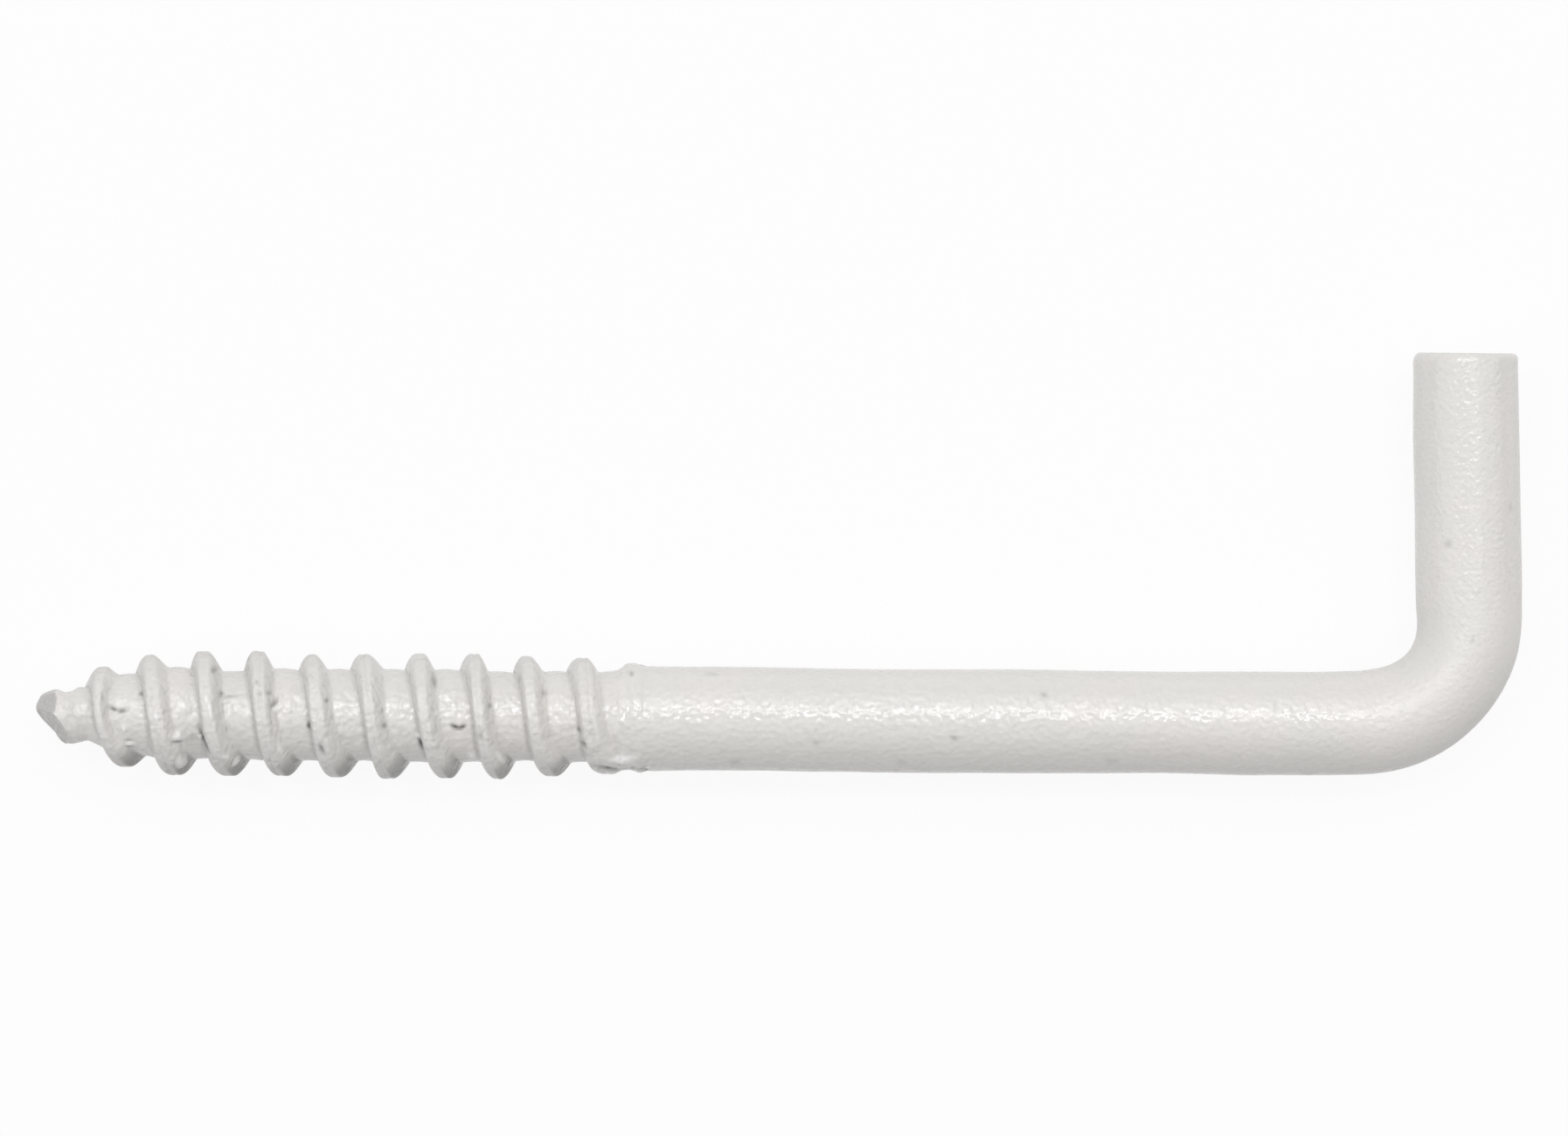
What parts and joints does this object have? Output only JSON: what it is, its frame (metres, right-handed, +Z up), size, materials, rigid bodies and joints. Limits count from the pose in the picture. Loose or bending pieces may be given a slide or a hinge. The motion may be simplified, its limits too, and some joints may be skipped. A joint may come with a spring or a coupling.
{
  "type": "screw hook",
  "caption": "Square-bend screw hook: painted wire with a wood-screw thread and a blunt point on one end and a short upright arm on the other, for hanging things from wood or a wall plug.",
  "frame": {"origin": "on the screw's axis where the thread ends and the plain shank begins, which is the wall's face once the hook is screwed home", "axes": "+X along the screw's axis from the thread to the arm, +Y the way the arm stands, +Z up with the hook lying flat"},
  "size_m": [0.0599, 0.0175, 0.005],
  "materials": {
    "white_paint": "thick gloss white paint, slightly uneven"
  },
  "bodies": {
    "root": {"screw_hook": "white_paint"}
  },
  "joints": []
}
